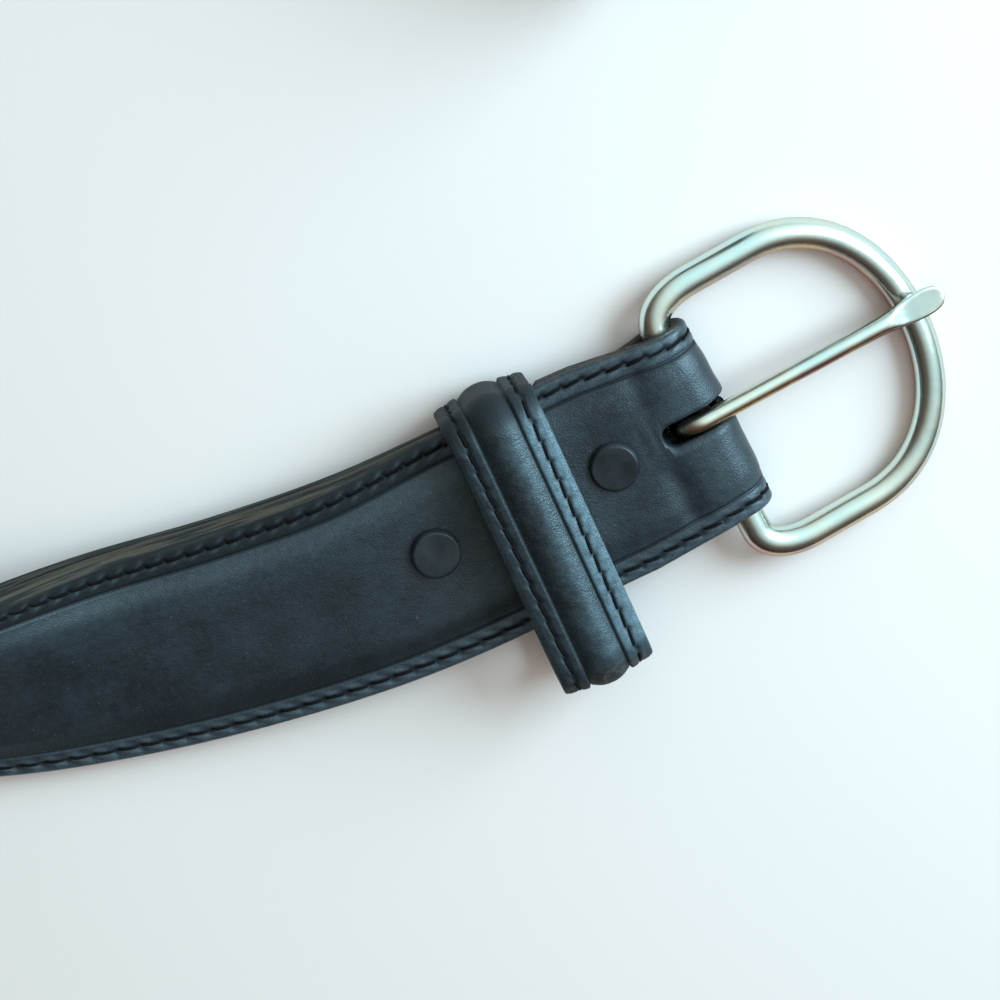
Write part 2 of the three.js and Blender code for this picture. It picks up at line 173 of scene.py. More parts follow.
# The strap's course: distance from the heel bar, heading and lean in degrees, height of the lower edge.
COURSE = (
    (0, 0, 0, 10.15),
    (5, 1.6, 0, 9.8),
    (10, 2.5, 0, 8.9),
    (15, 2.8, 0, 8.1),
    (25, 3.0, 0, 6.8),
    (32, 3.1, 0, 6.5),
    (40, 3.2, 0, 6.5),
    (50, 3.7, 0, 6.5),
    (60, 4.9, 1, 6.2),
    (72, 7.1, 3, 5.2),
    (100, 12.5, 7, 2),
    (130, 18.5, 13.5, 0.1),
    (165, 25.5, 34, 0.1),
    (200, 34.5, 62, 0.1),
    (235, 45, 85, 0.1),
    (264, 54.5, 90, 0),
    (300, 67, 90, 0),
    (620, 178, 90, 0),
    (990, 307, 90, 0),
)

# The flap under the strap: distance from the heel bar, how far its upper side lies below the strap's
# back, and its thickness at the border and in the middle.
FLAP_COURSE = (
    (0, 6.9, FOLD_BORDER, FOLD_CENTRE),
    (5, 5.5, 2.8, 3.1),
    (10, 2.3, 2.75, 2.9),
    (15, 0.4, FLAP_THICKNESS, FLAP_THICKNESS),
    (20, 0.3, FLAP_THICKNESS, FLAP_THICKNESS),
    (46, 0.3, FLAP_THICKNESS, FLAP_THICKNESS),
    (56, 0.5, FLAP_THICKNESS, FLAP_THICKNESS),
    (FLAP_LENGTH, 0.5, FLAP_THICKNESS, FLAP_THICKNESS),
)

# The tongue's shank: distance from the heel bar and, in shares of its radius, half its width, half its
# height and the height of the flat ground on its end.
SHANK = (
    (0, 0.96, 1, 1),
    (12, 0.96, 1, 1),
    (26, 1, 1, 1),
    (40, 1.03, 1, 1),
    (43, 1.12, 1, 0.86),
    (45.5, 1.3, 1, 0.52),
    (49.5, 1.5, 1, 0.4),
    (52.6, 1.4, 0.92, 0.36),
    (54.4, 1, 0.68, 0.34),
    (55.1, 0.42, 0.35, 0.3),
)


def blend(a, b, share):
    return a + (b - a) * min(max(share, 0), 1)


def ease(low, high, value):
    """0 below low, 1 above high and a smooth rise between them."""
    share = min(max((value - low) / (high - low), 0), 1)
    return share * share * (3 - 2 * share)


def bump(distance, reach):
    """1 at no distance, falling softly to nothing at about twice the reach."""
    return math.exp(-((distance / reach) ** 2))


def smooth(rows):
    """A curve through a table's rows by their first column, whose slope at a row is the mean beside it."""
    knots = [row[0] for row in rows]
    values = [Vector(row[1:]) for row in rows]
    slopes = [
        (values[i + 1] - values[i]) / (knots[i + 1] - knots[i]) for i in range(len(rows) - 1)
    ]
    tangents = [slopes[0], *((a + b) / 2 for a, b in zip(slopes, slopes[1:])), slopes[-1]]

    def value(at):
        at = min(max(at, knots[0]), knots[-1])
        i = min(bisect.bisect_right(knots, at), len(knots) - 1) - 1
        gap = knots[i + 1] - knots[i]
        p = (at - knots[i]) / gap
        rise = p * p * (3 - 2 * p)
        return (
            values[i].lerp(values[i + 1], rise)
            + tangents[i] * (gap * p * (1 - p) ** 2)
            - tangents[i + 1] * (gap * p * p * (1 - p))
        )

    return value


# The strap's course over the table.

smooth_course = smooth(COURSE)
flap_course = smooth(FLAP_COURSE)


def course(s):
    heading, lean, edge = smooth_course(s)
    return math.radians(heading), math.radians(min(max(lean, 0), 90)), max(edge, 0)


def walk_plan():
    """The strap's middle line seen from above, at every millimetre."""
    spots = [Vector((0, 0))]
    for s in range(int(STRAP_LENGTH)):
        turned = course(s + 0.5)[0]
        spots.append(spots[-1] + Vector((-math.cos(turned), math.sin(turned))))
    return spots


plan = walk_plan()


def back_point(s):
    _, leant, edge = course(s)
    i = min(int(s), len(plan) - 2)
    x, y = plan[i].lerp(plan[i + 1], s - i)
    return Vector((x, y, edge + STRAP_WIDTH / 2 * math.sin(leant)))


def station(s):
    """The middle of the strap's back at a distance from the bar, the way across it and out of its front."""
    reach = 0.5
    along = back_point(min(s + reach, STRAP_LENGTH)) - back_point(max(s - reach, 0))
    along.normalize()
    turned, leant, _ = course(s)
    across = Vector(
        (math.cos(leant) * math.sin(turned), math.cos(leant) * math.cos(turned), math.sin(leant))
    )
    across = (across - along * across.dot(along)).normalized()
    return back_point(s), across, across.cross(along)


@functools.lru_cache(maxsize=None)
def strip_station(t):
    """The same along the whole strip: the strap from the bar on, and below 0 the fold and the flap."""
    bar_height = Vector((0, 0, BAR.z))
    if t >= 0:
        return station(t)
    if t > -FOLD_ARC:
        angle = math.pi / 2 + math.pi * t / FOLD_ARC
        out = Vector((math.cos(angle), 0, math.sin(angle)))
        return bar_height + out * BAR_INNER, Vector((0, 1, 0)), out
    s = -t - FOLD_ARC
    spot, across, out = station(s)
    return spot - out * flap_course(s)[0], across, -out


def strip_place(t, y, h):
    """A flat strip place, in millimetres, bent to the strap's course in the row frame, in metres."""
    spot, across, out = strip_station(round(t, 4))
    return (spot + across * y + out * h + Vector((BAR.x, BAR.y, 0))) * MM


def strip_matrix(t, y, h, turn=0.0):
    """A frame at a strip place, with +X along the strip, +Y across it and +Z out of its front."""
    _, across, out = strip_station(round(t, 4))
    axes = Matrix((across.cross(out), across, out)).transposed().to_4x4()
    return Matrix.Translation(strip_place(t, y, h)) @ axes @ Matrix.Rotation(turn, 4, "Z")


# The leather's sections.


def strip_width(t):
    if t < -FOLD_ARC:
        return blend(FOLD_WIDTH, FLAP_END_WIDTH, (-t - FOLD_ARC) / FLAP_LENGTH)
    full = blend(FOLD_WIDTH, STRAP_WIDTH, t / FOLD_WIDENS)
    tip = (t - STRAP_LENGTH + TIP_LENGTH) / TIP_LENGTH
    return full * math.sqrt(1 - min(tip, 0.9999) ** 2) if tip > 0 else full


def strip_heights(t):
    """Heights over the strap's back of the border and the raised centre, and of the layer's own back."""
    if t < -FOLD_ARC:
        _, border, centre = flap_course(-t - FOLD_ARC)
        return border, centre, 0.0
    edge = blend(FOLD_BORDER, STRAP_EDGE, t / FOLD_SKIVE)
    raised = blend(FOLD_CENTRE, STRAP_CENTRE, t / FOLD_SKIVE)
    flat_end = (t - STRAP_LENGTH + TIP_LENGTH + TIP_FLAT_BEFORE) / TIP_LENGTH
    bottom = (LINING + LAYER_GAP) * ease(LAYERS_FROM - 1, LAYERS_FROM, t)
    return edge, blend(raised, edge, flat_end), bottom


def seam_wave(t, from_seam):
    """At a signed distance to the outer side of a seam: how full the leather stands between two stitches,
    the distance from the nearest hole, and from the slanted thread."""
    phase = (t / STITCH_PITCH) % 1
    from_hole = min(phase, 1 - phase) * STITCH_PITCH
    from_thread = from_seam + math.tan(STITCH_SLANT) * (phase - 0.5) * STITCH_PITCH
    fullness = 0.5 - 0.5 * math.cos(2 * math.pi * (t + from_seam * 0.9) / STITCH_PITCH)
    return fullness, from_hole, from_thread


def seam_depth(t, from_seam):
    """How much of a place lies in the channel that the stitches draw down, from 0 to 1."""
    _, from_hole, from_thread = seam_wave(t, from_seam)
    at_hole = bump(from_hole, 0.6)
    return (0.7 + 0.3 * at_hole) * bump(from_thread, 0.38 + 0.24 * at_hole)


def seam_pull(t, from_seam, puckers, channel):
    """How far the stitches move the leather: up in puckers beside the seam and down in its channel."""
    fullness, _, _ = seam_wave(t, from_seam)
    pucker = puckers * (fullness - 0.3) * bump(abs(from_seam) - 0.95, 0.65)
    return pucker - channel * seam_depth(t, from_seam)


def strap_puckers(t):
    """The puckers are low on the pressed leather at the buckle and grow behind the keeper."""
    return blend(0.1, 0.22, (t - BEHIND_KEEPER) / 25)


def snap_press(t, y):
    """How far the snaps press the leather down round their caps."""
    from_caps = (math.hypot(t - at, y - SNAP_OFFSET) for at in SNAP_AT)
    return sum(SNAP_PRESS * bump(from_cap, SNAP_PRESS_REACH) for from_cap in from_caps)


def fold_crease(t, y):
    """Soft valleys beside the slot, where the leather starts to bend over the bar, and the slot's lip."""
    from_slot = abs(y - SLOT_MIDDLE) - SLOT_WIDTH / 2
    beside = ease(0.5, 5, from_slot) * (1 - ease(13, 19, from_slot))
    valley = (0.95 if y < 0 else 0.5) * bump(t - 9, 2.7) * beside
    bulge = 0.35 * bump(t - 2, 3.5) * beside
    lip = 0.3 * bump(from_slot, 1.4) * ease(-FOLD_ARC, -FOLD_ARC / 2, t) * (1 - ease(6, 11, t))
    star = 0.0
    for spread_y, size in ((0.9, 0.3), (-0.35, 0.35), (0.2, 0.22)):
        line = y - SLOT_MIDDLE - (t - SLOT_REACH) * spread_y
        star += size * bump(line, 0.5) * ease(SLOT_REACH - 0.5, SLOT_REACH + 0.8, t)
    return lip + bulge - valley - star * (1 - ease(SLOT_REACH + 2, SLOT_REACH + 6, t))


RAISED_SHARES = (0, 0.16, 0.32, 0.48, 0.62, 0.72, 0.78, 0.83, 0.87, 0.905, 0.935, 0.962, 0.984)
GROOVE_STEPS = (-0.12, 0.08, 0.28, 0.5)
BORDER_SHARES = (0.17, 0.24, 0.31, 0.37, 0.43, 0.475, 0.52, 0.565, 0.61, 0.67, 0.73, 0.79)
ROUND_STEPS = 5
GROOVE_DEPTH = 0.5
GROOVE_MIDDLE = 0.08
GROOVE_REACH = 0.24
EDGE_ROUND = 1.0


def edge_roll(t, y):
    """How much wider the strap's upper edge is rolled over where it leans."""
    return ROLL_WIDTH * ease(48, 85, t) * (1 - ease(170, 260, t)) if y > 0 else 0.0


def strip_inset(t, y):
    """The distance from a side, or from where its roll ends."""
    return strip_width(t) / 2 - abs(y) - edge_roll(t, y)


def face_half(t, sign):
    """Half of the face layer's section from its middle to the middle of its back, as (y, height)."""
    width = strip_width(t)
    narrowed = width / STRAP_WIDTH
    side = width / 2
    rolled_over = edge_roll(t, sign)
    border = STRAP_BORDER * narrowed
    groove = side - border - rolled_over
    edge, centre, bottom = strip_heights(t)
    half = []
    for share in RAISED_SHARES:
        fall = (centre - edge) * ease(0.72, 1.02, share)
        half.append((groove * share, centre - fall))
    for step in GROOVE_STEPS:
        depth = GROOVE_DEPTH * bump(step - GROOVE_MIDDLE, GROOVE_REACH)
        half.append((groove + step * narrowed, edge - depth))
    for share in BORDER_SHARES:
        half.append((groove + border * share, edge))
    wide = EDGE_ROUND * min(narrowed * 1.4, 1) + rolled_over
    high = EDGE_ROUND + 0.3 * rolled_over
    for k in range(ROUND_STEPS + 1):
        angle = math.pi / 2 * (1 - k / ROUND_STEPS)
        half.append((side - wide * (1 - math.cos(angle)), edge - high * (1 - math.sin(angle))))
    back_round = 0.3 * narrowed
    half.append((side, bottom + 0.35))
    half.append((side - back_round, bottom))
    half.append((side * 0.5, bottom))
    return half


def whole_section(half, other):
    """A closed section: one half, the middle of the back and the other half back to the middle."""
    left = [(-y, h) for y, h in other[:0:-1]]
    return [*half, (0, half[-1][1]), *left]


def relief(t, y, h):
    """The height of the face layer's front with all that its seams, snaps and creases do to it."""
    edge, _, _ = strip_heights(t)
    if h < edge - EDGE_ROUND:
        return h
    inset = strip_inset(t, y)
    pulled = 0.0
    if inset < STRAP_BORDER - 0.8:
        pulled = seam_pull(t, SEAM_INSET - inset, strap_puckers(t), FACE_CHANNEL)
    return h + pulled - snap_press(t, y) + fold_crease(t, y)


def steps(start, end, step):
    count = max(round((end - start) / step), 1)
    return [start + (end - start) * k / count for k in range(count)]


def tip_steps():
    """Closer together to the end, where the tip's outline turns across the strip."""
    start = STRAP_LENGTH - TIP_LENGTH
    last = math.radians(87.5)
    return [start + TIP_LENGTH * math.sin(last * k / TIP_ROWS) for k in range(TIP_ROWS + 1)]


# Bodies from flat grids.


def rolled(rows, columns, place, flat=None, is_ring=False):
    """A closed body from a flat grid that place(row, column) rolls up, so that its last column meets its
    first. Its ends are capped, or it is a ring whose last row meets its first. Where flat(row, column) is
    given, it is kept as the attribute of that name."""
    bm = bmesh.new()
    bmesh.ops.create_grid(bm, x_segments=rows, y_segments=columns, size=1)
    layer = bm.verts.layers.float_vector.new("flat") if flat else None
    for vert in bm.verts:
        row = round((vert.co.x + 1) / 2 * rows)
        column = round((vert.co.y + 1) / 2 * columns) % columns
        if is_ring:
            row %= rows
        vert.co = place(row, column)
        if flat:
            vert[layer] = flat(row, column)
    bmesh.ops.remove_doubles(bm, verts=bm.verts, dist=1e-7)
    if not is_ring:
        bmesh.ops.holes_fill(bm, edges=bm.edges)
    bmesh.ops.recalc_face_normals(bm, faces=bm.faces)
    return bm


def new_object(name, data):
    obj = bpy.data.objects.new(name, data)
    bpy.context.scene.collection.objects.link(obj)
    return obj


def as_object(name, bm):
    mesh = bpy.data.meshes.new(name)
    bm.to_mesh(mesh)
    bm.free()
    mesh.shade_smooth()
    return new_object(name, mesh)


def evaluated_mesh(obj):
    bpy.context.view_layer.update()
    seen = obj.evaluated_get(bpy.context.evaluated_depsgraph_get())
    return bpy.data.meshes.new_from_object(seen)


def cut(obj, cutters):
    """Cuts closed bodies out of another one and removes them."""
    for cutter in cutters:
        modifier = obj.modifiers.new("cut", "BOOLEAN")
        modifier.operation = "DIFFERENCE"
        modifier.solver = "EXACT"
        modifier.object = cutter
    old = obj.data
    obj.data = evaluated_mesh(obj)
    obj.modifiers.clear()
    bpy.data.meshes.remove(old)
    for cutter in cutters:
        bpy.data.objects.remove(cutter)


def hole_cutter(at):
    bm = bmesh.new()
    bmesh.ops.create_cone(
        bm,
        cap_ends=True,
        segments=32,
        radius1=HOLE_RADIUS * MM,
        radius2=HOLE_RADIUS * MM,
        depth=2 * CUTTER_HALF * MM,
        matrix=Matrix.Translation(Vector((at, 0, 0)) * MM),
    )
    return as_object("cutter", bm)


def hole_cutters():
    return [hole_cutter(HOLES_FIRST + k * HOLES_PITCH) for k in range(HOLES_COUNT)]


def slot_cutter():
    """The slot's long rounded outline on the flat strip, in short lengths that can bend with it."""
    bm = bmesh.new()
    radius = SLOT_WIDTH / 2
    bmesh.ops.create_circle(bm, cap_ends=True, segments=32, radius=radius)
    start = -FOLD_ARC - SLOT_REACH + radius
    end = SLOT_REACH - radius
    for vert in bm.verts:
        vert.co.x += end if vert.co.x > 0 else start
    long_edges = [e for e in bm.edges if e.calc_length() > radius]
    bmesh.ops.subdivide_edges(bm, edges=long_edges, cuts=44)
    top = bmesh.ops.extrude_face_region(bm, geom=bm.faces[:])["geom"]
    for vert in bm.verts:
        vert.co.z = -CUTTER_HALF
    for vert in (v for v in top if isinstance(v, bmesh.types.BMVert)):
        vert.co.z = CUTTER_HALF
    bmesh.ops.recalc_face_normals(bm, faces=bm.faces)
    for vert in bm.verts:
        vert.co = Vector((vert.co.x, vert.co.y + SLOT_MIDDLE, vert.co.z)) * MM
    return as_object("cutter", bm)


def strip_zones(t, y, h):
    """Shares of wear and painted sheen, of painted shade, of cut edge and of raw leather at a strip place.
    Behind the keeper the strap leans, and its upper border gets painted shade and its lower one painted
    highlights."""
    inset = strip_inset(t, y)
    edge, _, _ = strip_heights(t)
    on_front = ease(edge - 1.2, edge - 0.7, h) * ease(-0.6, 0.2, inset)
    from_seam = SEAM_INSET - inset
    from_border = inset - STRAP_BORDER
    fullness, _, _ = seam_wave(t, from_seam)
    is_border = 1 - ease(-0.6, -0.1, from_border)
    behind = ease(BEHIND_KEEPER, BEHIND_KEEPER + 20, t)
    upper = ease(-1, 1, y)
    upper_behind = behind * upper
    lower_behind = behind * (1 - upper)
    crest = fullness * bump(abs(from_seam) - 1.1, 0.8)
    rim = bump(inset - 0.9, 0.55)
    # painted highlight: behind the keeper the lower border's pucker crests take more light colour, as lit
    # from above; elsewhere this is wear on the border's crests and rim
    wear_and_sheen_share = is_border * max(0.25 + (0.5 + 0.5 * lower_behind) * crest, 0.7 * rim)
    # painted shade: behind the keeper the upper border loses nearly all of its light colour
    wear_and_sheen_share *= 1 - 0.95 * upper_behind
    # painted sheen on the leather curving over the bar
    wear_and_sheen_share += 0.35 * bump(t - 1, 7)
    wear_and_sheen_share += 0.8 * upper_behind * fullness**6 * bump(from_seam - 0.3, 1.1)
    # painted light: the face just below the upper groove behind the keeper is lighter
    wear_and_sheen_share += 0.3 * upper_behind * (1 - is_border) * bump(from_border - 2, 5)
    lifted = fullness**3 * bump(abs(from_seam) - 1, 0.6)
    painted_shade = max(
        # painted shade in the seam's channel and in the groove
        seam_depth(t, 0.7 * from_seam),
        bump(from_border + 0.1, 0.3),
        # painted shadow: a dark band on the face beside the lower groove behind the keeper
        0.55 * lower_behind * bump(from_border - 2.2, 2.4),
        # painted shade over the whole upper border behind the keeper, less on the lifted pucker crests
        upper_behind * is_border * (1 - 0.7 * lifted),
    )
    cut_edge = (1 - on_front) * (1 - ease(0.15, 0.45, inset))
    cut_edge = max(cut_edge, 0.85 * (1 - ease(-0.5, 0.5, inset)) * ease(0.2, 1, edge_roll(t, y)))
    raw = upper * max(cut_edge, 0.5 * bump(inset, 0.8)) * bump(t - 10, 14)
    return on_front * min(wear_and_sheen_share, 1), on_front * painted_shade, cut_edge, raw


def bend(obj, zones):
    """Bends a body made on the flat strip, and keeps its flat places and its zones as attributes."""
    mesh = obj.data
    mesh.attributes.new("flat", "FLOAT_VECTOR", "POINT")
    mesh.attributes.new("zones", "FLOAT_COLOR", "POINT")
    flat = mesh.attributes["flat"].data
    zone = mesh.attributes["zones"].data
    for i, vert in enumerate(mesh.vertices):
        t, y, h = vert.co / MM
        flat[i].vector = vert.co
        zone[i].color = zones(t, y, h)
        vert.co = strip_place(min(max(t, FLAP_TIP), STRAP_LENGTH), y, h)
    mesh.shade_smooth()


def strip_body(name, rows, section, cutters, zones):
    """A body along the strip, from its closed section at each row, cut and bent."""
    sections = [[Vector((t, y, h)) * MM for y, h in section(t)] for t in rows]
    bm = rolled(len(rows) - 1, len(sections[0]), lambda i, j: sections[i][j])
    obj = as_object(name, bm)
    cut(obj, cutters)
    bend(obj, zones)
    return obj


def make_strap_face():
    coarse = STITCH_PITCH / COARSE_ROWS
    rows = [
        *steps(FLAP_TIP, -FOLD_ARC, coarse),
        *steps(-FOLD_ARC, 0, FOLD_STEP),
        *steps(0, FINE_UNTIL, STITCH_PITCH / FINE_ROWS),
        *steps(FINE_UNTIL, STRAP_LENGTH - TIP_LENGTH, coarse),
        *tip_steps(),
    ]

    def section(t):
        return [(y, relief(t, y, h)) for y, h in whole_section(face_half(t, 1), face_half(t, -1))]

    return strip_body("strap_leather", rows, section, [slot_cutter(), *hole_cutters()], strip_zones)


def lining_half(t):
    """Half of the lining's section, whose back is drawn in at the seam, as (y, height)."""
    side = strip_width(t) / 2
    narrowed = side * 2 / STRAP_WIDTH
    half = [(0, LINING), (side * 0.6, LINING), (side - 0.12, LINING), (side, LINING - 0.15)]
    half += [(side, 0.7), (side - 0.2 * narrowed, 0.22), (side - 0.6 * narrowed, 0)]
    for inset in (0.9, 1.6, 2.1, 2.6, 3.1, 3.7, 4.6):
        pulled = seam_pull(t, SEAM_INSET - inset, LINING_PUCKERS, FINE_CHANNEL)
        half.append((side - inset * narrowed, max(-pulled, 0)))
    half.append((side * 0.4, 0))
    return half


def lining_zones(t, y, h):
    inset = strip_width(t) / 2 - abs(y)
    is_back = 1 - ease(0.1, 0.6, h)
    # painted shade in the seam's channel on the back
    painted_shade = is_back * bump(SEAM_INSET - inset, 0.45)
    return 0.3 * is_back, painted_shade, (1 - ease(0.3, 0.7, inset)) * (1 - is_back), 0.0


def make_strap_lining():
    rows = [*steps(LAYERS_FROM, STRAP_LENGTH - TIP_LENGTH, STITCH_PITCH / COARSE_ROWS), *tip_steps()]

    def section(t):
        return whole_section(lining_half(t), lining_half(t))

    return strip_body("strap_lining_leather", rows, section, hole_cutters(), lining_zones)


# Seams: short lengths of thread, joined.


def tip_seam():
    """Places of the stitches round the tip."""
    tip_start = STRAP_LENGTH - TIP_LENGTH
    reach = TIP_LENGTH - SEAM_INSET * 1.6
    half = STRAP_WIDTH / 2 - SEAM_INSET
    count = int(math.pi * (reach + half) / 2 / STITCH_PITCH)
    for k in range(1, count):
        angle = math.pi * (k / count - 0.5)
        yield tip_start + reach * math.cos(angle), half * math.sin(angle), angle


def sewn(name, stitches):
    """One piece of thread from all its stitches, each given as its place, length and radius."""
    one = bmesh.new()
    upright = Matrix.Rotation(math.pi / 2, 4, "Y")
    bmesh.ops.create_uvsphere(one, u_segments=6, v_segments=6, radius=1, matrix=upright)
    shape = bpy.data.meshes.new("stitch")
    one.to_mesh(shape)
    one.free()
    joined = bmesh.new()
    for matrix, length, radius in stitches:
        placed = shape.copy()
        placed.transform(matrix @ Matrix.Diagonal((length / 2 * MM, radius * MM, radius * MM, 1)))
        joined.from_mesh(placed)
        bpy.data.meshes.remove(placed)
    bpy.data.meshes.remove(shape)
    return as_object(name, joined)


def make_strap_stitches():
    first = math.ceil(FLAP_TIP / STITCH_PITCH) + 1
    last = int((STRAP_LENGTH - TIP_LENGTH) / STITCH_PITCH)
    stitches = []
    for k in range(first, last):
        t = (k + 0.5) * STITCH_PITCH
        front = strip_heights(t)[0] - FACE_CHANNEL * seam_depth(t, 0) + STITCH_SINK
        back = FINE_CHANNEL * seam_depth(t, 0) - STITCH_SINK
        for sign in (1, -1):
            y = sign * (strip_inset(t, 0) - edge_roll(t, sign) - SEAM_INSET)
            place = strip_matrix(t, y, front, sign * STITCH_SLANT)
            stitches.append((place, STITCH_LENGTH, STITCH_RADIUS))
            if t > FLAP_LENGTH + 2:
                place = strip_matrix(t, y, back, -sign * STITCH_SLANT)
                stitches.append((place, STITCH_LENGTH, STITCH_RADIUS * 0.6))
    for t, y, angle in tip_seam():
        place = strip_matrix(t, y, strip_heights(t)[0] - 0.05, math.pi / 2 + angle)
        stitches.append((place, STITCH_LENGTH * 0.8, STITCH_RADIUS * 0.8))
    return sewn("strap_stitches", stitches)


# The keeper.

KEEPER_TURN = course(KEEPER_AT)[0]


def keeper_line(shift):
    """The keeper's inner outline moved out by a distance: its length, and its place and outward way."""
    half_y = KEEPER_INNER[0] / 2 - KEEPER_CORNER
    half_z = KEEPER_INNER[1] / 2 - KEEPER_CORNER
    radius = KEEPER_CORNER + shift
    arc = math.pi / 2 * radius
    spans = (2 * half_y, arc, 2 * half_z, arc) * 2
    corners = ((half_y, half_z), (-half_y, half_z), (-half_y, -half_z), (half_y, -half_z))
    length = sum(spans)

    def at(distance):
        distance %= length
        turn = math.pi / 2
        for k, size in enumerate(spans):
            corner = Vector((0, *corners[(k + 1) // 2 % 4]))
            is_arc = k % 2 == 1
            if distance <= size:
                break
            turn += math.pi / 2 if is_arc else 0
            distance -= size
        angle = turn + distance / radius if is_arc else turn
        out = Vector((0, math.cos(angle), math.sin(angle)))
        along = Vector((0, -out.z, out.y)) * (0 if is_arc else distance)
        return corner + out * radius + along, out

    return length, at


def keeper_place(spot):
    """From the keeper's own frame in millimetres to the row frame in metres."""
    middle = Vector((0, 0, KEEPER_RIDGE + KEEPER_INNER[1] / 2))
    return (Matrix.Rotation(-KEEPER_TURN, 3, "Z") @ spot + middle) * MM


def keeper_border_height(x):
    """The borders fall a little to their outer sides."""
    return blend(KEEPER_BORDER, KEEPER_SIDE, (x - 5) / (KEEPER_LENGTH / 2 - 5))


KEEPER_RIDGE_SHARES = (0, 0.2, 0.4, 0.58, 0.72, 0.83, 0.91, 0.97)
KEEPER_GROOVE_STEPS = (0.15, 0.38, 0.6, 0.85)
KEEPER_BORDER_AT = (5.1, 5.5, 5.9, 6.2, 6.45, 6.7, 6.95, 7.2, 7.5, 7.85, 8.2, 8.55, 8.85)
KEEPER_ROUND = 0.7


def keeper_half():
    """Half of the band's section from its middle to its inner side, as (along the strap, height)."""
    half = []
    for share in KEEPER_RIDGE_SHARES:
        half.append((KEEPER_RIDGE_HALF * share, KEEPER_RIDGE - 1.25 * share**2.3))
    for step in KEEPER_GROOVE_STEPS:
        half.append((KEEPER_RIDGE_HALF + step, KEEPER_BORDER - 0.75 * bump(step - 0.38, 0.26)))
    for x in KEEPER_BORDER_AT:
        half.append((x, keeper_border_height(x)))
    for k in range(ROUND_STEPS + 1):
        angle = math.pi / 2 * (1 - k / ROUND_STEPS)
        x = KEEPER_LENGTH / 2 - KEEPER_ROUND * (1 - math.cos(angle))
        half.append((x, KEEPER_SIDE - KEEPER_ROUND * (1 - math.sin(angle))))
    half += [(KEEPER_LENGTH / 2, 0.3), (KEEPER_LENGTH / 2 - 0.25, 0), (KEEPER_LENGTH / 4, 0)]
    return half


def keeper_zones(around_at, x, h, y):
    """The strip's zones on the keeper. Its side to the buckle gets painted sheen, and its other side and
    the ends that bend down get painted shade.
    """
    from_seam = abs(x) - KEEPER_SEAM
    from_ridge = abs(x) - KEEPER_RIDGE_HALF
    fullness, _, _ = seam_wave(around_at, from_seam)
    on_front = ease(0.4, 0.8, h)
    on_border = ease(0, 0.4, from_ridge)
    on_ridge = 1 - on_border
    bent_down = ease(23, 29, abs(y))
    crest = fullness * bump(abs(from_seam) - 1.1, 0.7)
    # painted highlight along the ridge's flank towards the buckle
    wear_and_sheen_share = 0.3 * bump(x - 2.4, 1.8) * on_ridge
    # painted sheen on the border towards the buckle, a little more on the seam's crests, and little on the
    # other border
    wear_and_sheen_share += on_border * (0.85 + 0.3 * crest) * (1 if x > 0 else 0.1)
    # painted shade where the band bends down the strap's sides
    wear_and_sheen_share *= 1 - 0.6 * bent_down
    painted_shade = max(
        # painted shade in the seam's channel and in the grooves beside the ridge
        seam_depth(around_at, 0.7 * from_seam) * on_border,
        bump(from_ridge - 0.4, 0.34),
        # painted shade on the ridge's flank and the border away from the buckle, and on the ends that bend
        # down
        0.6 * ease(-1, 3, -x) * on_ridge,
        0.6 * on_border if x < 0 else 0,
        (0.95 if y > 0 else 0.5) * bent_down,
    )
    bare = (1 - on_front) * (1 - ease(0.1, 0.4, KEEPER_LENGTH / 2 - abs(x)))
    raw = 0.85 * ease(26, 31, -y)
    return wear_and_sheen_share * on_front, painted_shade * on_front, bare, raw * on_front


def keeper_puff(out):
    """How far the band stands off where it turns down the strap's sides."""
    return 0.35 * ease(0.2, 0.9, abs(out.y))


def make_keeper():
    length, _ = keeper_line(KEEPER_MID)
    around = round(length / STITCH_PITCH) * FINE_ROWS
    section = whole_section(keeper_half(), keeper_half())
    unturn = Matrix.Rotation(KEEPER_TURN, 3, "Z")
    inner_length, inner_at = keeper_line(0)

    def shape(i, j):
        x, h = section[j]
        spot, out = inner_at(i / around * inner_length)
        if h > 1.2 and abs(x) > KEEPER_RIDGE_HALF + 1:
            around_at = i * STITCH_PITCH / FINE_ROWS
            h += seam_pull(around_at, abs(x) - KEEPER_SEAM, KEEPER_PUCKERS, FINE_CHANNEL)
        puff = keeper_puff(out) if h > 0.5 else 0
        return keeper_place(spot + out * (h + puff) + Vector((x, 0, 0)))

    def flat(i, j):
        return Vector((i * STITCH_PITCH / FINE_ROWS, *section[j])) * MM

    bm = rolled(around, len(section), shape, flat, is_ring=True)
    obj = as_object("keeper_leather", bm)
    mesh = obj.data
    flat_places = [item.vector / MM for item in mesh.attributes["flat"].data]
    zone = mesh.attributes.new("zones", "FLOAT_COLOR", "POINT")
    for i, vert in enumerate(mesh.vertices):
        zone.data[i].color = keeper_zones(*flat_places[i], (unturn @ vert.co).y / MM)
    return obj


def make_keeper_stitches():
    inner_length, inner_at = keeper_line(0)
    length, _ = keeper_line(KEEPER_MID)
    count = round(length / STITCH_PITCH)
    turn = Matrix.Rotation(-KEEPER_TURN, 4, "Z")
    stitches = []
    for k in range(count):
        spot, out = inner_at((k + 0.5) / count * inner_length)
        along = Vector((0, -out.z, out.y))
        height = keeper_border_height(KEEPER_SEAM) - KEEPER_STITCH_SINK + keeper_puff(out)
        axes = Matrix((along, out.cross(along), out)).transposed().to_4x4()
        for x in (-KEEPER_SEAM, KEEPER_SEAM):
            place = Matrix.Translation(keeper_place(spot + out * height + Vector((x, 0, 0))))
            slant = Matrix.Rotation(math.copysign(STITCH_SLANT, -x), 4, "Z")
            stitches.append((place @ turn @ axes @ slant, STITCH_LENGTH, STITCH_RADIUS))
    return sewn("keeper_stitches", stitches)


# The snaps.


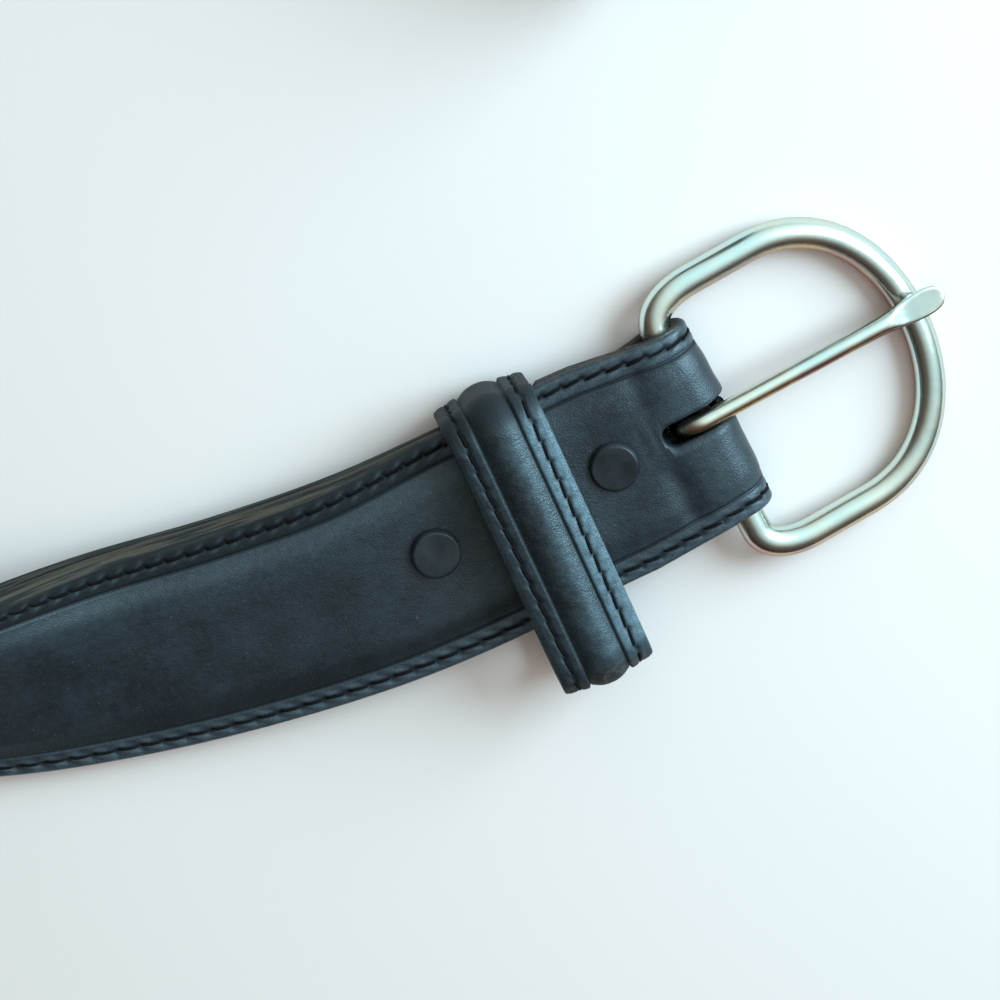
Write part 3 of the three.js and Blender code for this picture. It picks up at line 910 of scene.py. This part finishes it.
def make_snap(name, at):
    """A low round cap, spun from its section, whose skirt is pressed into the leather."""
    _, centre, _ = strip_heights(at)
    inner = SNAP_RADIUS - SNAP_BEVEL
    section = (
        (SNAP_RADIUS - 0.15, -0.7),
        (SNAP_RADIUS, -0.3),
        (SNAP_RADIUS, SNAP_HEIGHT - 0.85),
        (SNAP_RADIUS - 0.06, SNAP_HEIGHT - 0.62),
        (SNAP_RADIUS - 0.25, SNAP_HEIGHT - 0.4),
        (inner + 0.2, SNAP_HEIGHT - 0.08),
        (inner, SNAP_HEIGHT - 0.01),
        (inner - 0.25, SNAP_HEIGHT),
        (inner * 0.5, SNAP_HEIGHT - 0.06),
        (0, SNAP_HEIGHT - 0.1),
    )
    bm = bmesh.new()
    verts = [bm.verts.new(Vector((r, 0, h)) * MM) for r, h in section]
    edges = [bm.edges.new(pair) for pair in zip(verts, verts[1:])]
    bmesh.ops.spin(
        bm,
        geom=verts + edges,
        axis=(0, 0, 1),
        cent=(0, 0, 0),
        steps=64,
        angle=2 * math.pi,
        use_merge=True,
    )
    bmesh.ops.remove_doubles(bm, verts=bm.verts, dist=WELD)
    bmesh.ops.holes_fill(bm, edges=bm.edges)
    bmesh.ops.recalc_face_normals(bm, faces=bm.faces)
    bm.transform(strip_matrix(at, SNAP_OFFSET, centre))
    return as_object(name, bm)


def make_snap_foot(name, at):
    """The flange under the flap."""
    flap_back = flap_course(at)[0] + FLAP_THICKNESS
    narrow, wide = FOOT_RADII
    bm = bmesh.new()
    bmesh.ops.create_cone(
        bm,
        cap_ends=True,
        segments=48,
        radius1=narrow * MM,
        radius2=wide * MM,
        depth=FOOT_HEIGHT * MM,
    )
    rim = [e for e in bm.edges if len(e.link_faces) == 2 and e.calc_face_angle(0) > 0.6]
    bmesh.ops.bevel(
        bm,
        geom=rim,
        offset=FOOT_BEVEL * MM,
        segments=3,
        profile=0.5,
        affect="EDGES",
        material=-1,
    )
    bm.transform(strip_matrix(at, SNAP_OFFSET, -flap_back - FOOT_DROP))
    return as_object(name, bm)


# The buckle.


def mark_shade_and_reflection(obj, is_hidden, reflection_from):
    """Keeps for each point of a wire how much painted shade it gets inside the fold, where it is also made
    rougher, and how much painted warm reflection on its low side.
    """
    zone = obj.data.attributes.new("zones", "FLOAT_COLOR", "POINT")
    lee = Vector((-0.42, -0.8, -0.42)).normalized()
    for i, vert in enumerate(obj.data.vertices):
        # painted shade inside the fold, where the wire is also rougher
        shaded_in_fold = is_hidden(vert.co / MM - BAR)
        # painted reflection: warm tones on faces turned away from the light
        warm_reflection_share = ease(reflection_from, reflection_from + 0.85, vert.normal.dot(lee))
        zone.data[i].color = (shaded_in_fold, warm_reflection_share, 0, 1)
    return obj


def make_buckle_frame():
    corner_x, arm_y = FRAME_CORNER
    arm_handle, heel_handle = FRAME_CORNER_HANDLES
    front_x, front_y = FRAME_FRONT_HANDLES
    arm_from = corner_x + FRAME_ARM_HANDLE
    arm_to = FRAME_ARM_END - FRAME_ARM_HANDLE
    knots = (
        ((0, -FRAME_HEEL_HALF), (0, -heel_handle), (0, -FRAME_HEEL_HANDLE)),
        ((0, FRAME_HEEL_HALF), (0, FRAME_HEEL_HANDLE), (0, heel_handle)),
        ((corner_x, arm_y), (arm_handle, arm_y), (arm_from, arm_y)),
        ((FRAME_ARM_END, arm_y), (arm_to, arm_y), (front_x, arm_y)),
        ((FRAME_FRONT, 0), (FRAME_FRONT, front_y), (FRAME_FRONT, -front_y)),
        ((FRAME_ARM_END, -arm_y), (front_x, -arm_y), (arm_to, -arm_y)),
        ((corner_x, -arm_y), (arm_from, -arm_y), (arm_handle, -arm_y)),
    )
    curve = bpy.data.curves.new("wire", "CURVE")
    curve.dimensions = "3D"
    curve.bevel_depth = WIRE_RADIUS * MM
    curve.bevel_resolution = 8
    curve.resolution_u = 20
    spline = curve.splines.new("BEZIER")
    spline.bezier_points.add(len(knots) - 1)
    spline.use_cyclic_u = True
    for point, (co, left, right) in zip(spline.bezier_points, knots):
        point.handle_left_type = point.handle_right_type = "FREE"
        point.co = Vector((*co, 0)) * MM
        point.handle_left = Vector((*left, 0)) * MM
        point.handle_right = Vector((*right, 0)) * MM
    wire = new_object("wire", curve)
    bm = bmesh.new()
    bm.from_mesh(evaluated_mesh(wire))
    bpy.data.objects.remove(wire)
    bmesh.ops.remove_doubles(bm, verts=bm.verts, dist=WELD)
    bmesh.ops.recalc_face_normals(bm, faces=bm.faces)
    place = (BAR + Vector((0, FRAME_OFFSET, 0))) * MM
    bm.transform(Matrix.Translation(place) @ Matrix.Rotation(FRAME_DIP, 4, "Y"))
    return mark_shade_and_reflection(
        as_object("buckle_wire", bm),
        lambda at: (1 - ease(20, 21.5, abs(at.y))) * (1 - ease(3, 5, at.x)),
        reflection_from=-0.3,
    )


def tongue_stations():
    """The tongue's sections from the ring's end to the tip: middle, way up, and shares of the radius."""
    rows = []
    start = math.radians(TONGUE_RING_START)
    sweep = start + math.pi * 1.5
    for i in range(TONGUE_RING_STEPS):
        done = i / TONGUE_RING_STEPS
        angle = start - sweep * done
        out = Vector((math.cos(angle), 0, math.sin(angle)))
        thickened = (done - TONGUE_THIN_UNTIL) / (1 - TONGUE_THIN_UNTIL)
        high = blend(TONGUE_RING_THINNING, 1, thickened)
        rows.append((out * (BAR_INNER + TONGUE_RADIUS * high), out, SHANK[0][1], high, 1.0))
    shank = smooth(SHANK)
    top = BAR_INNER + TONGUE_RADIUS
    rest = 2 * WIRE_RADIUS + TONGUE_GAP + TONGUE_RADIUS - BAR.z
    slope = (rest - top) / FRAME_FRONT
    up = Vector((-slope, 0, 1)).normalized()
    end = SHANK[-1][0]
    for x in (*steps(0, 40, 1.0), *steps(40, 53, 0.3), *steps(53, end, 0.14), end):
        wide, high, flat = shank(x)
        rows.append((Vector((x, 0, top + slope * x)), up, wide, high, flat))
    return rows


def make_tongue():
    rows = tongue_stations()

    def shape(i, j):
        spot, up, wide, high, flat = rows[i]
        angle = 2 * math.pi * (j + 0.5) / TONGUE_SIDES
        aside = Vector((0, wide * math.cos(angle), 0))
        rise = min(high * math.sin(angle), flat)
        return (spot + (aside + up * rise) * TONGUE_RADIUS) * MM

    bm = rolled(len(rows) - 1, TONGUE_SIDES, shape)
    place = (BAR + Vector((0, TONGUE_OFFSET, 0))) * MM
    bm.transform(Matrix.Translation(place) @ Matrix.Rotation(math.radians(-TONGUE_TURN), 4, "Z"))
    return mark_shade_and_reflection(
        as_object("tongue_wire", bm),
        lambda at: (1 - ease(3.6, 5.6, at.z)) * (1 - ease(6, 8.5, at.x)),
        reflection_from=-0.65,
    )


# Shader nodes and colours.

# the thread's own black, also the colour of painted shade in the leather
THREAD_AND_SHADE_BLACK = (0.0015, 0.0015, 0.002, 1)
EDGE_BLACK = (0.005, 0.0045, 0.004, 1)
RAW_BROWN = (0.13, 0.075, 0.035, 1)
DUST = (0.2, 0.21, 0.21, 1)
COOL_SHEEN = (0.78, 0.95, 1.0, 1)
ENAMEL_SHEEN = (0.8, 0.97, 1.0, 1)
WARM_SHEEN = (0.8, 0.64, 0.55, 1)
LEATHER_RELIEF = 0.00007
THREAD_RELIEF = 0.00008
ENAMEL_RELIEF = 0.00003
NICKEL_RELIEF = 0.0002


def new_group(name, inputs, outputs):
    """A node group with named sockets, each given with its kind."""
    group = bpy.data.node_groups.new(name, "ShaderNodeTree")
    for sockets, way in ((inputs, "INPUT"), (outputs, "OUTPUT")):
        for label, kind in sockets.items():
            group.interface.new_socket(label, in_out=way, socket_type="NodeSocket" + kind)
    return group, group.nodes.new("NodeGroupInput"), group.nodes.new("NodeGroupOutput")


def set_inputs(tree, node, values):
    """Links each of a node's inputs from a socket, or sets its value."""
    for key, value in values.items():
        if isinstance(value, bpy.types.NodeSocket):
            tree.links.new(value, node.inputs[key])
        else:
            node.inputs[key].default_value = value


def add_node(tree, kind, inputs, **properties):
    node = tree.nodes.new(kind)
    for key, value in properties.items():
        setattr(node, key, value)
    set_inputs(tree, node, inputs)
    return node


def attribute(tree, name):
    return add_node(tree, "ShaderNodeAttribute", {}, attribute_name=name).outputs


def object_place(tree):
    return tree.nodes.new("ShaderNodeTexCoord").outputs["Object"]


def maths(tree, operation, *values, clamp=False):
    inputs = dict(enumerate(values))
    return add_node(tree, "ShaderNodeMath", inputs, operation=operation, use_clamp=clamp).outputs[0]


def plus(tree, a, b, clamp=False):
    return maths(tree, "ADD", a, b, clamp=clamp)


def times(tree, a, b, clamp=False):
    return maths(tree, "MULTIPLY", a, b, clamp=clamp)


def mixed(tree, share, a, b):
    """A mix of two colours, each a socket or a tuple."""
    node = tree.nodes.new("ShaderNodeMix")
    node.data_type = "RGBA"
    set_inputs(tree, node, {0: share, 6: a, 7: b})
    return node.outputs[2]


def noise(tree, vector, scale, detail=3.0, roughness=0.55):
    inputs = {"Vector": vector, "Scale": scale, "Detail": detail, "Roughness": roughness}
    return add_node(tree, "ShaderNodeTexNoise", inputs).outputs["Fac"]


def spread(tree, value, low, high, to_low=0.0, to_high=1.0):
    inputs = {"Value": value, "From Min": low, "From Max": high, "To Min": to_low, "To Max": to_high}
    return add_node(tree, "ShaderNodeMapRange", inputs, clamp=True).outputs[0]


def leather_group():
    """Grain, colour patches, wear with painted sheen, painted shade and bare cut edges of the black
    leather.
    The zones' colour gives the shares of wear and painted sheen, of painted shade in seams, grooves and
    shaded parts and of cut edge, and their alpha raw leather."""
    inputs = {"Zones": "Color", "Raw": "Float", "Flat": "Vector"}
    inputs |= {"Base": "Color", "Wear and sheen": "Color", "Bare": "Color", "Roughness": "Float"}
    outputs = {"Color": "Color", "Roughness": "Float", "Height": "Float"}
    tree, given, out = new_group("leather finish", inputs, outputs)
    zones, raw, flat, base, wear_sheen_color, bare_color, roughness, _ = given.outputs
    where = object_place(tree)
    wear_sheen_zone, painted_shade, bare = add_node(tree, "ShaderNodeSeparateColor", {"Color": zones}).outputs
    patches = noise(tree, where, 75, 5.0, 0.6)
    pebbles = add_node(tree, "ShaderNodeTexVoronoi", {"Vector": where, "Scale": 2700.0}, feature="F1")
    fine = noise(tree, where, 3600, 3.0, 0.6)
    scuffs = noise(tree, where, 620, 6.0, 0.74)
    along = add_node(tree, "ShaderNodeMapping", {"Vector": flat, "Scale": (50.0, 1300.0, 1500.0)})
    streaks = noise(tree, along.outputs[0], 1.0, 4.0, 0.6)

    lighter = times(tree, spread(tree, patches, 0.38, 0.7), 0.18)
    grained = times(tree, spread(tree, scuffs, 0.42, 0.66), 0.14)
    color = mixed(tree, plus(tree, lighter, grained), base, wear_sheen_color)
    # the light colour is both real wear on crests and rims and painted sheen and highlights
    wear_and_sheen = times(tree, wear_sheen_zone, spread(tree, scuffs, 0.34, 0.62, 0.45, 1.0), clamp=True)
    color = mixed(tree, wear_and_sheen, color, wear_sheen_color)
    specks = spread(tree, noise(tree, where, 1700, 1.0), 0.745, 0.775)
    color = mixed(tree, times(tree, specks, 0.28), color, DUST)
    # painted shade: seams, grooves and shaded parts turn near black
    color = mixed(tree, times(tree, painted_shade, 0.92), color, THREAD_AND_SHADE_BLACK)
    edge_color = mixed(tree, spread(tree, streaks, 0.45, 0.56), EDGE_BLACK, bare_color)
    color = mixed(tree, bare, color, edge_color)
    unfinished = times(tree, raw, spread(tree, scuffs, 0.5, 0.66), clamp=True)
    color = mixed(tree, unfinished, color, RAW_BROWN)

    rough = plus(tree, roughness, spread(tree, patches, 0.35, 0.7, -0.04, 0.06))
    for share, roughened in ((wear_sheen_zone, -0.08), (raw, 0.25), (painted_shade, 0.4), (bare, 0.4)):
        rough = plus(tree, rough, times(tree, share, roughened), clamp=True)

    height = plus(tree, times(tree, pebbles.outputs["Distance"], 0.8), times(tree, fine, 0.7))
    height = plus(tree, height, times(tree, scuffs, 1.3))
    height = plus(tree, height, times(tree, times(tree, streaks, bare), 5.0))
    set_inputs(tree, out, {"Color": color, "Roughness": rough, "Height": height})
    return tree


LEATHER = leather_group()


def new_material(name):
    material = bpy.data.materials.new(name)
    material.use_nodes = True
    tree = material.node_tree
    return material, tree, tree.nodes["Principled BSDF"]


def add_bump(tree, shader, height, strength, distance):
    inputs = {"Strength": strength, "Distance": distance, "Height": height}
    node = add_node(tree, "ShaderNodeBump", inputs)
    tree.links.new(node.outputs["Normal"], shader.inputs["Normal"])


def leather(name, base, wear_and_sheen, bare, roughness):
    material, tree, shader = new_material(name)
    zones = attribute(tree, "zones")
    inputs = {
        "Zones": zones["Color"],
        "Raw": zones["Alpha"],
        "Flat": attribute(tree, "flat")["Vector"],
        "Base": base,
        "Wear and sheen": wear_and_sheen,
        "Bare": bare,
        "Roughness": roughness,
    }
    made = tree.nodes.new("ShaderNodeGroup")
    made.node_tree = LEATHER
    set_inputs(tree, made, inputs)
    outputs = made.outputs
    set_inputs(tree, shader, {"Base Color": outputs["Color"], "Roughness": outputs["Roughness"]})
    set_inputs(tree, shader, {"Specular IOR Level": 0.5, "Specular Tint": COOL_SHEEN})
    add_bump(tree, shader, outputs["Height"], 0.8, LEATHER_RELIEF)
    return material


def thread():
    material, tree, shader = new_material("thread")
    fuzz = noise(tree, object_place(tree), 2600, 2.0)
    color = mixed(tree, spread(tree, fuzz, 0.35, 0.8), THREAD_AND_SHADE_BLACK, (0.007, 0.008, 0.009, 1))
    inputs = {"Base Color": color, "Roughness": 0.75, "Specular IOR Level": 0.12}
    set_inputs(tree, shader, inputs)
    add_bump(tree, shader, fuzz, 0.6, THREAD_RELIEF)
    return material


def enamel():
    material, tree, shader = new_material("enamel")
    where = object_place(tree)
    clouds = noise(tree, where, 260, 4.0)
    fuzz = noise(tree, where, 2200, 3.0)
    dark, light = (0.009, 0.011, 0.013, 1), (0.02, 0.025, 0.029, 1)
    inputs = {
        "Base Color": mixed(tree, spread(tree, clouds, 0.35, 0.7), dark, light),
        "Roughness": spread(tree, clouds, 0.3, 0.7, 0.36, 0.46),
        "Specular IOR Level": 0.42,
        "Specular Tint": ENAMEL_SHEEN,
    }
    set_inputs(tree, shader, inputs)
    add_bump(tree, shader, fuzz, 0.35, ENAMEL_RELIEF)
    return material


def nickel():
    """Plating with a painted warm reflection on the wire's low side, and painted shade, with more
    roughness, where leather covers it.
    """
    material, tree, shader = new_material("nickel")
    where = object_place(tree)
    zones = attribute(tree, "zones")["Color"]
    shaded_in_fold, warm_reflection_share, _ = add_node(tree, "ShaderNodeSeparateColor", {"Color": zones}).outputs
    clouds = noise(tree, where, 90, 3.0)
    fine = noise(tree, where, 1800, 2.0)
    cold, warm = (0.6, 0.79, 0.76, 1), (0.72, 0.77, 0.67, 1)
    # painted reflection: reddish and golden tones, as of a warm room, on the wire's low side
    red, gold = (0.44, 0.2, 0.17, 1), (0.6, 0.39, 0.18, 1)
    # painted shade: near black inside the fold
    fold_shade_black = (0.012, 0.01, 0.009, 1)
    color = mixed(tree, spread(tree, clouds, 0.35, 0.7), cold, warm)
    warm_reflection = mixed(tree, spread(tree, clouds, 0.44, 0.56), red, gold)
    color = mixed(tree, times(tree, warm_reflection_share, 0.9), color, warm_reflection)
    inputs = {
        "Base Color": mixed(tree, shaded_in_fold, color, fold_shade_black),
        "Roughness": plus(tree, spread(tree, clouds, 0.3, 0.75, 0.17, 0.26), times(tree, shaded_in_fold, 0.3)),
        "Metallic": 1.0,
        "Specular Tint": WARM_SHEEN,
    }
    set_inputs(tree, shader, inputs)
    waves = plus(tree, times(tree, clouds, 3.0), times(tree, fine, 0.12))
    add_bump(tree, shader, waves, 0.25, NICKEL_RELIEF)
    return material


# Light, floor and camera.


def add_light(name, place, size, power, color):
    """A flat lamp that faces the part."""
    light = bpy.data.lights.new(name, "AREA")
    light.shape = "RECTANGLE"
    light.size, light.size_y = size
    light.energy = power
    light.color = color
    obj = new_object(name, light)
    obj.location = place
    obj.rotation_euler = (-Vector(place)).to_track_quat("-Z", "Y").to_euler()
    return obj


def light_scene():
    """A pale studio, brightest over the buckle's side and warm and dim low down on the other."""
    world = bpy.data.worlds.new("studio")
    world.use_nodes = True
    tree = world.node_tree
    way = tree.nodes.new("ShaderNodeTexCoord").outputs["Generated"]
    bright_way = Vector((0.6, 0.36, 0.72)).normalized()
    dot = add_node(tree, "ShaderNodeVectorMath", {0: way, 1: bright_way}, operation="DOT_PRODUCT")
    ramp = add_node(tree, "ShaderNodeValToRGB", {0: spread(tree, dot.outputs["Value"], -0.3, 1.0)})
    stops = ramp.color_ramp.elements
    stops[0].color = (0.05, 0.03, 0.024, 1)
    stops[1].color = (0.78, 0.98, 1.0, 1)
    stops.new(0.45).color = (0.12, 0.092, 0.078, 1)
    stops.new(0.62).color = (0.32, 0.31, 0.295, 1)
    stops.new(0.78).color = (0.6, 0.655, 0.65, 1)
    background = tree.nodes["Background"]
    set_inputs(tree, background, {"Color": ramp.outputs["Color"], "Strength": 1.3})
    bpy.context.scene.world = world
    add_light("window", (0.57, 0.06, 0.42), (0.42, 0.5), 8.0, (0.6, 0.85, 1.0))
    fill = add_light("fill", (-0.3, 0.2, 1.2), (1.2, 1.2), 3.2, (1.0, 0.89, 0.82))
    fill.visible_glossy = False
    bpy.context.scene.view_settings.view_transform = "Standard"


def add_floor():
    bm = bmesh.new()
    bmesh.ops.create_circle(bm, cap_ends=True, segments=96, radius=12.0)
    floor = as_object("floor", bm)
    floor.location.z = -0.0001
    material, tree, shader = new_material("floor")
    pale = (0.71, 0.66, 0.63, 1)
    set_inputs(tree, shader, {"Base Color": pale, "Roughness": 1.0, "Specular IOR Level": 0.0})
    floor.data.materials.append(material)
    floor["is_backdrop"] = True


def add_camera():
    """The photograph's angle, rolled so that the tongue points up to the right."""
    off_vertical = math.radians(17)
    roll = math.radians(28.4)
    aim = Vector((-5.0, 7.5, 11.0)) * MM
    distance = 0.6
    forward = Vector((0, -math.sin(off_vertical), -math.cos(off_vertical)))
    level = Vector((1, 0, 0))
    above = level.cross(forward)
    right = level * math.cos(roll) - above * math.sin(roll)
    up = level * math.sin(roll) + above * math.cos(roll)
    camera = bpy.data.cameras.new("camera")
    camera.lens = 108
    camera.sensor_width = 36
    camera.shift_x = -0.004
    camera.shift_y = 0.013
    camera.clip_start = 0.01
    obj = new_object("camera", camera)
    axes = Matrix((right, up, -forward)).transposed().to_4x4()
    obj.matrix_world = Matrix.Translation(aim - forward * distance) @ axes
    bpy.context.scene.camera = obj


def finish(obj, material, body, slot, *nodes):
    obj.data.materials.append(material)
    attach(obj, body)
    if nodes:
        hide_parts(*nodes)


def dress():
    face = leather(
        "black leather",
        base=(0.009, 0.0125, 0.016, 1),
        # this light colour also gives the painted sheen over the bar and the painted highlights on the
        # lower border
        wear_and_sheen=(0.052, 0.077, 0.095, 1),
        bare=(0.055, 0.044, 0.027, 1),
        roughness=0.37,
    )
    keeper_face = leather(
        "keeper leather",
        base=(0.004, 0.006, 0.0075, 1),
        # this bright blue colour is mostly painted sheen on the keeper's side towards the buckle
        wear_and_sheen=(0.1, 0.17, 0.21, 1),
        bare=(0.012, 0.01, 0.009, 1),
        roughness=0.3,
    )
    lining = leather(
        "lining leather",
        base=(0.016, 0.0155, 0.014, 1),
        wear_and_sheen=(0.04, 0.038, 0.032, 1),
        bare=(0.04, 0.037, 0.028, 1),
        roughness=0.55,
    )
    black_thread = thread()
    black_enamel = enamel()
    plate = nickel()
    finish(make_strap_face(), face, "strap", "black_leather", "strap_face")
    finish(make_strap_lining(), lining, "strap", "lining_leather", "strap_lining")
    finish(make_strap_stitches(), black_thread, "strap", "black_leather")
    finish(make_keeper(), keeper_face, "strap", "black_leather", "keeper")
    finish(make_keeper_stitches(), black_thread, "strap", "black_leather")
    for name, at in zip(("snap_front", "snap_rear"), SNAP_AT):
        finish(make_snap(name + "_cap", at), black_enamel, "strap", "black_enamel", name)
        finish(make_snap_foot(name + "_foot", at), black_enamel, "strap", "black_enamel")
    finish(make_buckle_frame(), plate, "frame", "nickel_plate", "buckle_frame")
    finish(make_tongue(), plate, "tongue", "nickel_plate", "buckle_tongue")


dress()
add_floor()
light_scene()
add_camera()

boxes = {"cad": cad_box, "visual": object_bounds()}
{name: [list(corner) for corner in box] for name, box in boxes.items()}
